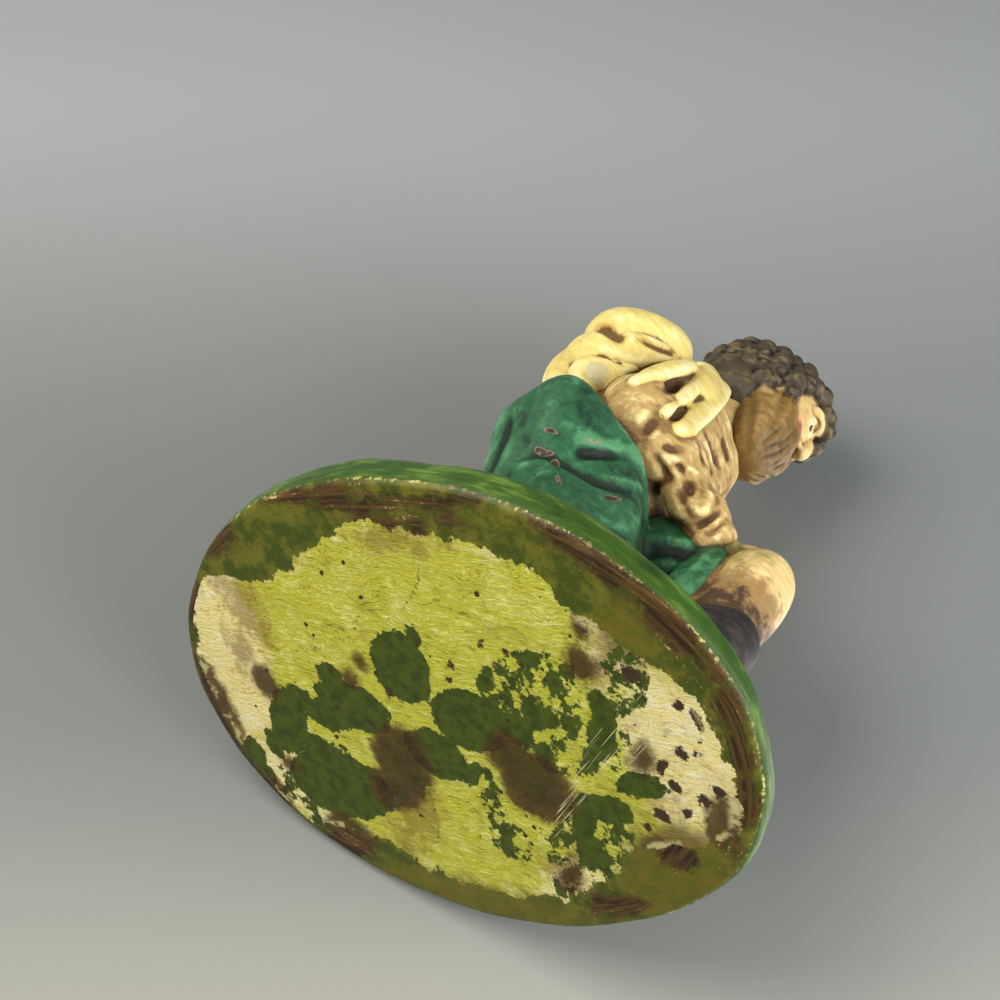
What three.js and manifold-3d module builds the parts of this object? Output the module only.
// A painted plaster figurine: a bearded shepherd kneeling on an oval mound, cast in one piece.
// Millimetres. +X is the figure's left, +Y its back and +Z up, with the origin under the middle of the base.
import * as THREE from "three";
import { mergeVertices } from "three/addons/utils/BufferGeometryUtils.js";
import Module from "manifold-3d";

const TURN = 2 * Math.PI;
const DEGREE = Math.PI / 180;

// The base is an oval mound. Its profile is in shares of the half width and of the height of its edge.
const BASE = {
  length: 88.8,
  width: 66,
  sides: 36,
  flat: 0.975,
  profile: [
    [0.995, 0.14],
    [1.005, 0.4],
    [1.0, 0.75],
    [0.965, 1.05],
    [0.88, 1.3],
    [0.68, 1.65],
    [0.4, 1.9],
  ],
  crown: 2,
  edge: 4.1,
  highEdge: 3.8,
  highSide: 150,
};

// The joints of the body under the clothes. Every limb and garment hangs on these places.
const JOINT = {
  pelvis: [-8.5, 1.5, 42],
  waist: [-7, 1.8, 49],
  chest: [-5, 1, 65],
  collar: [-4, -2, 75],
  rightShoulder: [-14, -2.2, 71],
  rightElbow: [-16.5, -5, 55],
  rightWrist: [-1.2, -18.4, 45.2],
  leftShoulder: [6.5, 0, 69],
  leftElbow: [13.5, 3, 53],
  leftWrist: [12.5, -15, 46],
  rightHip: [-9, 1, 41],
  rightKnee: [-12.5, -10, 13],
  rightAnkle: [-8.5, 21, 12],
  rightToe: [-8, 30, 9],
  leftHip: [3, 1, 42],
  leftKnee: [4, -24.5, 42],
  leftAnkle: [4, -24, 15],
  leftToe: [5, -34.5, 7.5],
};

// Half widths of limbs and garments where they are fullest.
const GIRTH = {
  hips: 18.5,
  trunk: 14,
  arm: 6.2,
  cuff: 3.2,
  thigh: 10,
  knee: 5.8,
  boot: 5.5,
  finger: 1.25,
  tail: 2.3,
};

// The head is bowed and turned to the figure's left. Its sizes are those of a plain oval head.
const HEAD = {
  middle: [-3, -8.5, 90.8],
  turn: 36 * DEGREE,
  bow: 20 * DEGREE,
  width: 16,
  depth: 19,
  height: 21,
};
const CURLS = { count: 34, size: 3.2, sunk: 2.4, low: -0.62 };

// Ripples that run round a limb, like the creases of a pushed-up sleeve.
function creases(count, depth, slant, side = 0) {
  return (angle, t) => depth * Math.sin(TURN * count * t + slant * Math.cos(angle - side));
}

// Folds that run along a garment and drift round it.
function flutes(count, depth, drift = 0, phase = 0) {
  return (angle, t) => depth * Math.cos(count * angle + drift * t + phase);
}

// How far along a form each ring lies, and how wide it is there, with round ends over the two caps.
function ringSteps(caps, rings, capRings = 3) {
  const [start, end] = caps;
  const steps = [];
  for (let i = 0; i < capRings; i++) {
    const a = ((i / capRings) * Math.PI) / 2;
    steps.push([start * (1 - Math.cos(a)), Math.sin(a)]);
  }
  for (let i = 0; i <= rings; i++) steps.push([start + ((1 - start - end) * i) / rings, 1]);
  for (let i = capRings - 1; i >= 0; i--) {
    const a = ((i / capRings) * Math.PI) / 2;
    steps.push([1 - end * (1 - Math.cos(a)), Math.sin(a)]);
  }
  return steps;
}

// One closed rounded form along a curved middle line. A station is a place, two half widths and a turn.
function form(stations, options = {}) {
  const { across = [1, 0, 0], caps = [0.2, 0.2], square = 2, sides = 20, rings = 8, capRings = 3 } = options;
  const { relief = () => 0 } = options;
  const spine = new THREE.CatmullRomCurve3(stations.map(([x, y, z]) => new THREE.Vector3(x, y, z)));
  const widths = stations.map(([, , , a, b, turn = 0]) => new THREE.Vector3(a, b, turn));
  const girth = new THREE.CatmullRomCurve3(widths);
  for (const curve of [spine, girth]) curve.curveType = "catmullrom";
  const steps = ringSteps(caps, rings, capRings);
  const geometry = new THREE.SphereGeometry(1, sides, steps.length - 1);
  const place = geometry.getAttribute("position");
  const bent = (value) => Math.sign(value) * Math.abs(value) ** (2 / square);
  const side = new THREE.Vector3();
  const depth = new THREE.Vector3();
  for (let i = 0; i < place.count; i++) {
    const [t, swell] = steps[Math.floor(i / (sides + 1))];
    const angle = (TURN * (i % (sides + 1))) / sides;
    const middle = spine.getPoint(t);
    const along = spine.getTangent(t);
    side.fromArray(across).addScaledVector(along, -along.dot(side)).normalize();
    depth.crossVectors(along, side);
    const { x: a, y: b, z: turn } = girth.getPoint(t);
    side.applyAxisAngle(along, turn);
    depth.applyAxisAngle(along, turn);
    const grown = relief(angle, t);
    middle.addScaledVector(side, swell * (a + grown) * bent(Math.cos(angle)));
    middle.addScaledVector(depth, swell * (b + grown) * bent(Math.sin(angle)));
    place.setXYZ(i, middle.x, middle.y, middle.z);
  }
  return geometry;
}

// The mound: a turned profile drawn out to an oval, with a lumpy top and an edge highest on one side.
function mound() {
  const outline = [[0, 0], [BASE.flat, 0], ...BASE.profile, [0, BASE.crown]];
  const points = outline.map(([share, up]) => new THREE.Vector2((share * BASE.width) / 2, up * BASE.edge));
  const geometry = new THREE.LatheGeometry(points, BASE.sides);
  geometry.rotateX(Math.PI / 2);
  geometry.scale(1, BASE.length / BASE.width, 1);
  const place = geometry.getAttribute("position");
  const reach = BASE.width / 2;
  for (let i = 0; i < place.count; i++) {
    const [x, y, z] = [place.getX(i), place.getY(i), place.getZ(i)];
    if (z < 0.01) continue;
    const angle = Math.atan2(y, x);
    const out = Math.min(1, Math.hypot(x, (y * BASE.width) / BASE.length) / reach);
    const share = z / (BASE.edge * BASE.crown);
    const facing = (1 + Math.cos(angle - BASE.highSide * DEGREE)) / 2;
    const high = (BASE.highEdge / BASE.edge) * out * facing * facing;
    const wander = 1 + share * (0.014 * Math.sin(5 * angle + 1) + 0.01 * Math.sin(9 * angle));
    const lump = share > 0.6 ? 0.5 * Math.sin(0.21 * x + 1) * Math.cos(0.19 * y) : 0;
    place.setXYZ(i, x * wander, y * wander, z * (1 + high) + lump);
  }
  return geometry;
}

// The robe: round hips, the kneeling leg, the raised thigh, and the cloth that falls between them.
function robe() {
  const { pelvis, waist, rightHip, rightKnee, rightAnkle, leftHip, leftKnee } = JOINT;
  const { hips, thigh } = GIRTH;
  const seat = form(
    [
      [-6, 4, 12, 10, 10],
      [-7.5, -0.5, 25, hips - 5.5, 9.5],
      [-8.8, -0.4, 34, hips - 2.4, 10.4],
      [pelvis[0] - 0.8, pelvis[1] - 1, pelvis[2] - 1.2, hips + 0.6, 11.8],
      [waist[0] - 1.8, waist[1] - 1.8, waist[2] - 3.4, hips - 2, 12],
    ],
    { caps: [0.25, 0.16], sides: 20, rings: 6, capRings: 3, relief: flutes(6, 0.6, 5, 1) },
  );
  const kneelingThigh = form(
    [
      [...rightHip, thigh + 1.4, thigh + 6],
      [-10.2, -3.5, 27, thigh + 1.8, thigh + 1.8],
      [...rightKnee, thigh - 0.6, thigh - 0.6],
    ],
    { across: [0, 1, 0], caps: [0.15, 0.25], sides: 16, rings: 4, capRings: 2, relief: flutes(5, 0.6, 4) },
  );
  const calf = form(
    [
      [rightKnee[0], rightKnee[1] + 1, 11, thigh - 2, 7],
      [-9.5, 8, 12, thigh - 2, 8],
      [...rightAnkle, thigh - 4, 6],
    ],
    { caps: [0.25, 0.15], sides: 14, rings: 4, capRings: 2, relief: flutes(5, 0.5, 3) },
  );
  const raisedThigh = form(
    [
      [...leftHip, thigh + 1, thigh + 1],
      [4, -10, 42.5, thigh - 0.5, thigh - 1],
      [leftKnee[0], leftKnee[1] + 6, leftKnee[2], 6.6, 6.6],
    ],
    { caps: [0.3, 0.12], sides: 16, rings: 5, capRings: 2, relief: flutes(5, 0.4, 2) },
  );
  const fall = form(
    [
      [9, 2, 5, 9, 17],
      [9.2, -1, 22, 7.5, 15],
      [7, -3, 43, 7, 13],
    ],
    { caps: [0.12, 0.3], sides: 16, rings: 4, capRings: 2, relief: flutes(7, 0.7, 2) },
  );
  const train = form(
    [
      [-0.5, 12.5, 6, 12, 11],
      [-2.5, 10, 20, 11, 9],
      [-5, 5, 36, 12, 10],
    ],
    { caps: [0.12, 0.3], sides: 16, rings: 4, capRings: 2, relief: flutes(7, 0.7, 1.5) },
  );
  const hem = form(
    [
      [0, -17.5, 45, 2.2, 3],
      [-0.8, -19, 38, 1.9, 3.2],
      [-0.6, -19, 29, 1.6, 3],
    ],
    { caps: [0.2, 0.25], sides: 10, rings: 3, capRings: 2 },
  );
  return [seat, kneelingThigh, calf, raisedThigh, fall, train, hem];
}

// One sleeve from the shoulder to a rolled cuff. The creases crowd towards the wrist.
function sleeve(shoulder, elbow, bend, wrist) {
  const { arm, cuff } = GIRTH;
  const cloth = form(
    [
      [...shoulder, arm, arm],
      [...elbow, arm - 0.2, arm - 0.2],
      [...bend, arm - 2.2, arm - 2.2],
      [...wrist, cuff, cuff],
    ],
    { across: [0, 1, 0], caps: [0.15, 0.05], sides: 12, rings: 9, capRings: 2, relief: creases(4, 0.6, 1.5) },
  );
  const end = new THREE.Vector3(...wrist);
  const back = new THREE.Vector3(...bend).sub(end).normalize();
  const roll = form(
    [
      [...end.clone().addScaledVector(back, 2.2), cuff + 0.5, cuff + 0.5],
      [...end.clone().addScaledVector(back, -0.8), cuff + 0.3, cuff + 0.3],
    ],
    { across: [0, 1, 0], caps: [0.3, 0.3], sides: 10, rings: 1, capRings: 1 },
  );
  return [cloth, roll];
}

// The shirt: a leaning trunk, a short cape over the shoulders, and two pushed-up sleeves.
function shirt() {
  const { waist, chest, collar, rightShoulder, rightElbow, rightWrist } = JOINT;
  const { leftShoulder, leftElbow, leftWrist } = JOINT;
  const { trunk } = GIRTH;
  const body = form(
    [
      [waist[0], waist[1] - 1, waist[2] - 11, trunk - 1.5, 8.5],
      [waist[0], waist[1], waist[2], trunk, 10.5],
      [...chest, trunk - 1.5, 9.5],
      [collar[0], collar[1], collar[2], trunk - 4, 7.5],
    ],
    { caps: [0.1, 0.35], sides: 16, rings: 4, capRings: 2, relief: flutes(6, 0.35, 3) },
  );
  const cape = form(
    [
      [-5, 0, 62, trunk - 0.2, 10],
      [-4.5, -0.5, 69, trunk - 1, 9.5],
      [-4, -3.4, 79, 8, 7],
    ],
    { caps: [0.14, 0.2], sides: 16, rings: 3, capRings: 2, relief: flutes(6, 0.5, 1) },
  );
  return [
    body,
    cape,
    ...sleeve(rightShoulder, rightElbow, [-9.5, -12.5, 50.5], rightWrist),
    ...sleeve(leftShoulder, leftElbow, [15, -7, 48], leftWrist),
  ];
}

// The cloth bundle on the back: lobes that spread from its neck, and two ends over the right shoulder.
function bundle() {
  const lobes = [
    [
      [-15, 1, 80, 2.8, 2.8],
      [-20, 2, 78, 3.8, 3.8],
      [-24, 6.2, 73.8, 4.2, 4.2],
      [-25.2, 11, 69.6, 3.4, 3.4],
    ],
    [
      [-16, -0.4, 76.5, 2.2, 2.2],
      [-21.5, 1.2, 70, 3, 3],
      [-24.6, 5, 64.5, 3.2, 3],
      [-25, 9.6, 60.5, 3, 3],
    ],
    [
      [-18, 0, 67, 1.8, 1.8],
      [-21, 1, 61.8, 2.2, 2.2],
      [-22.8, 4.4, 59, 2.6, 2.4],
      [-22.4, 8, 58.5, 2.7, 2.7],
    ],
    [
      [-15.5, -0.8, 79, 1.2, 1.4],
      [-18.8, -4, 71, 1.1, 2.2],
      [-21, -5.8, 62.5, 1.1, 2.4],
      [-22.2, -4, 53.5, 1, 1.6],
    ],
    [
      [-13, 3, 77, 4, 4],
      [-17.5, 8, 70, 6.5, 6],
      [-19.5, 9.5, 63, 6, 6],
      [-17.5, 8.5, 58.5, 4.5, 4.5],
    ],
  ];
  const tails = [
    [
      [-13.5, 1.5, 79],
      [-15.6, -5, 76.6],
      [-17.7, -8.8, 63],
      [-18.8, -10.2, 50],
    ],
    [
      [-11, -0.5, 79.5],
      [-12.6, -7, 77],
      [-13.3, -9.8, 66],
      [-15.7, -12.9, 50],
    ],
  ];
  const { tail } = GIRTH;
  return [
    ...lobes.map((stations) => form(stations, { caps: [0.25, 0.3], sides: 11, rings: 3, capRings: 2 })),
    ...tails.map((places) =>
      form(
        places.map((place, i) => [...place, tail * (1 - 0.22 * i), 1.2 - 0.15 * i]),
        { across: [0.6, -0.8, 0], caps: [0.15, 0.06], sides: 8, rings: 4, capRings: 1 },
      ),
    ),
  ];
}

// A hand laid flat: a palm with four fingers side by side and a thumb. Across points to the thumb's side.
function hand(wrist, knuckles, tips, across, thumb) {
  const { finger } = GIRTH;
  const start = new THREE.Vector3(...wrist);
  const middle = new THREE.Vector3(...knuckles);
  const end = new THREE.Vector3(...tips);
  const side = new THREE.Vector3(...across).normalize();
  const palm = form(
    [
      [...start, 2.4, 2],
      [...middle, 3.8, 1.9],
    ],
    { across, caps: [0.2, 0.3], sides: 8, rings: 2, capRings: 2 },
  );
  const digit = (from, to, size) => {
    const crook = from.clone().lerp(to, 0.5).add(new THREE.Vector3(0, 0, 0.7));
    const stations = [from, crook, to].map((point, i) => [...point, size - 0.12 * i, size - 0.12 * i]);
    return form(stations, { across, caps: [0.25, 0.25], sides: 5, rings: 2, capRings: 1 });
  };
  const fingers = [-1.5, -0.5, 0.5, 1.5].map((place) => {
    const from = middle.clone().addScaledVector(side, place * 1.9);
    const to = end.clone().addScaledVector(side, place * 1.9);
    to.lerp(from, 0.07 * place * place);
    return digit(from, to, finger);
  });
  const root = start.clone().lerp(middle, 0.4).addScaledVector(side, 2.2);
  return [palm, ...fingers, digit(root, new THREE.Vector3(...thumb), finger + 0.1)];
}

// A boot: a shaft with a slack top, and a foot with a low heel.
function boot(top, ankle, heel, toe) {
  const { boot: girth } = GIRTH;
  const shaft = form(
    [
      [...top, girth, girth],
      [...ankle, girth - 0.6, girth - 0.6],
      [...heel, girth - 0.8, girth - 0.4],
    ],
    { across: [0, 1, 0], caps: [0.08, 0.1], sides: 14, rings: 5, capRings: 2, relief: creases(3, 0.25, 1) },
  );
  const foot = form(
    [
      [heel[0], heel[1] + 4, heel[2], girth - 1.2, 5],
      [(heel[0] + toe[0]) / 2, (heel[1] + toe[1]) / 2, heel[2] + 1, girth - 1, 5],
      [...toe, girth - 1.8, 3],
    ],
    { caps: [0.25, 0.3], sides: 12, rings: 3, capRings: 2 },
  );
  return [shaft, foot];
}

// The bare knee and shin, the boots and the hands.
function limbs() {
  const { leftKnee, leftAnkle, leftToe, rightAnkle, rightToe, rightWrist, leftWrist } = JOINT;
  const { knee } = GIRTH;
  const shin = form(
    [
      [leftKnee[0], leftKnee[1], leftKnee[2] + 8, knee - 1.4, knee - 1.4],
      [leftKnee[0], leftKnee[1], leftKnee[2] - 2, knee, knee],
      [leftAnkle[0], leftAnkle[1], 28, knee - 0.5, knee - 0.5],
    ],
    { across: [0, 1, 0], caps: [0.3, 0.1], sides: 14, rings: 3 },
  );
  const sole = form(
    [
      [...rightAnkle, 5, 5],
      [rightToe[0], rightToe[1], rightToe[2], 4.8, 3.4],
    ],
    { caps: [0.3, 0.35], sides: 11, rings: 2, capRings: 2 },
  );
  return [
    shin,
    ...boot([4.4, -24.8, 32.5], [4.4, -24.5, 19], [leftAnkle[0] + 0.5, leftAnkle[1], 8], leftToe),
    sole,
    ...hand(rightWrist, [3.5, -19.5, 48.5], [7.5, -18.5, 47.5], [0, -1, 0.3], [3, -23, 49.5]),
    ...hand(leftWrist, [10.5, -20.5, 49], [7.5, -25.5, 50], [-1, -0.5, 0.2], [5, -19.5, 51]),
  ];
}

// The face: a plain calm one, with brow, nose, cheeks and closed lips on an oval.
function face() {
  const [w, d, h] = [HEAD.width / 2, HEAD.depth / 2, HEAD.height / 2];
  const oval = form(
    [
      [0, -0.8, -h, w * 0.72, d * 0.72],
      [0, -0.5, -h * 0.3, w * 0.92, d * 0.9],
      [0, -0.3, h * 0.76, w, d * 0.95],
    ],
    { caps: [0.35, 0.5], sides: 18, rings: 3 },
  );
  const front = -d * 0.93;
  const bar = { caps: [0.3, 0.3], sides: 6, rings: 2, capRings: 2 };
  const nose = form(
    [
      [0, front + 0.6, 1.2, 1, 1.2],
      [0, front - 1.4, -2.6, 1.3, 1.3],
      [0, front - 1, -4, 1.7, 1.2],
    ],
    bar,
  );
  const shapes = [oval, nose];
  const crosswise = { ...bar, across: [0, 0, 1] };
  for (const side of [-1, 1]) {
    const brow = [
      [side * 1, front + 0.6, 1.9, 1.1, 1.1],
      [side * 5.6, front + 3.2, 1.6, 1, 1],
    ];
    const cheek = [
      [side * 3.6, front + 3, -5, 2.2, 2.2],
      [side * 4.4, front + 3.4, -1.8, 2.1, 2.2],
    ];
    const moustache = [
      [side * 0.3, front - 0.1, -5.4, 1, 1.2],
      [side * 5, front + 2.2, -8, 0.9, 1],
    ];
    shapes.push(form(brow, crosswise), form(cheek, bar), form(moustache, crosswise));
  }
  return shapes;
}

// The full beard: side locks along the jaw and a broad pointed mass, with grooves between its locks.
function beard() {
  const mass = form(
    [
      [0, -2.5, -3, 8.2, 5],
      [0, -4.8, -8, 8, 6.2],
      [0, -7, -12, 6.2, 5.2],
      [0, -9.2, -15.4, 3, 3],
    ],
    { caps: [0.15, 0.25], sides: 18, rings: 4, capRings: 2, relief: flutes(10, 0.35, 2) },
  );
  const jaw = [-1, 1].map((side) =>
    form(
      [
        [side * 7, 0, 2, 1.6, 2.4],
        [side * 6.8, -2, -4, 2, 3.2],
        [side * 5, -4.5, -8.5, 3, 4],
      ],
      { caps: [0.25, 0.25], sides: 8, rings: 2, capRings: 2 },
    ),
  );
  return [mass, ...jaw];
}

// The hair: a cap that leaves the face free, covered with curls laid out in an even spiral.
function hair() {
  const cap = form(
    [
      [0, 5.6, -12.5, 7, 6.8],
      [0, 5, -7, 8, 7.8],
      [0, 4, 0, 9, 11.4],
      [0, 1, 8.6, 8.6, 9.8],
    ],
    { caps: [0.35, 0.5], sides: 16, rings: 3 },
  );
  const shapes = [cap];
  const golden = Math.PI * (3 - Math.sqrt(5));
  for (let i = 0; i < CURLS.count; i++) {
    const up = 1 - (2 * (i + 0.5)) / CURLS.count;
    const around = i * golden;
    const flat = Math.sqrt(1 - up * up);
    const [x, y] = [flat * Math.cos(around), flat * Math.sin(around)];
    if (up < CURLS.low) continue;
    if (y < -0.25 && up < 0.45 + 0.3 * x * x) continue;
    const curl = new THREE.DodecahedronGeometry(CURLS.size * (1 + 0.08 * Math.sin(5 * i)), 0);
    curl.rotateZ(i);
    curl.translate(x * (9.4 - CURLS.sunk), 1.4 + y * (12.9 - CURLS.sunk), -0.6 + up * (10.2 - CURLS.sunk));
    shapes.push(curl);
  }
  return shapes;
}

// The whole head, made upright and facing forward, then bowed and turned onto its neck.
function head() {
  const shapes = [...face(), ...beard(), ...hair()];
  const pose = new THREE.Matrix4().makeRotationZ(HEAD.turn);
  pose.multiply(new THREE.Matrix4().makeRotationX(HEAD.bow));
  pose.setPosition(...HEAD.middle);
  for (const shape of shapes) shape.applyMatrix4(pose);
  const neck = form(
    [
      [...JOINT.collar, 6.6, 6.4],
      [-4, -4.5, 88, 6.2, 6.2],
    ],
    { sides: 12, rings: 2, capRings: 2 },
  );
  return [...shapes, neck];
}

const library = await Module();
library.setup();

// A closed geometry as a solid that can be joined and cut.
function solid(geometry) {
  geometry.deleteAttribute("normal");
  geometry.deleteAttribute("uv");
  const merged = mergeVertices(geometry, 1e-3);
  const { position } = merged.attributes;
  const triVerts = Uint32Array.from(merged.index.array);
  let volume = 0;
  const corners = [new THREE.Vector3(), new THREE.Vector3(), new THREE.Vector3()];
  for (let i = 0; i < triVerts.length; i += 3) {
    corners.forEach((corner, k) => corner.fromBufferAttribute(position, triVerts[i + k]));
    volume += corners[0].dot(corners[1].cross(corners[2]));
  }
  if (volume < 0) triVerts.reverse();
  const mesh = new library.Mesh({ numProp: 3, vertProperties: Float32Array.from(position.array), triVerts });
  return new library.Manifold(mesh);
}

// The union of many closed geometries as one geometry.
function cast(geometries) {
  const whole = geometries.map(solid).reduce((sum, piece) => sum.add(piece));
  const { vertProperties, triVerts } = whole.getMesh();
  const geometry = new THREE.BufferGeometry();
  geometry.setAttribute("position", new THREE.BufferAttribute(vertProperties, 3));
  geometry.setIndex(new THREE.BufferAttribute(triVerts, 1));
  geometry.computeVertexNormals();
  return geometry;
}

const plaster = new THREE.MeshStandardMaterial({ color: 0x2d7350, roughness: 0.45, metalness: 0 });
const forms = [mound(), ...robe(), ...shirt(), ...bundle(), ...limbs(), ...head()];
const figurine = new THREE.Mesh(cast(forms), plaster);
figurine.name = "kneeling_shepherd";

const group = new THREE.Group();
group.add(figurine);
export default group;
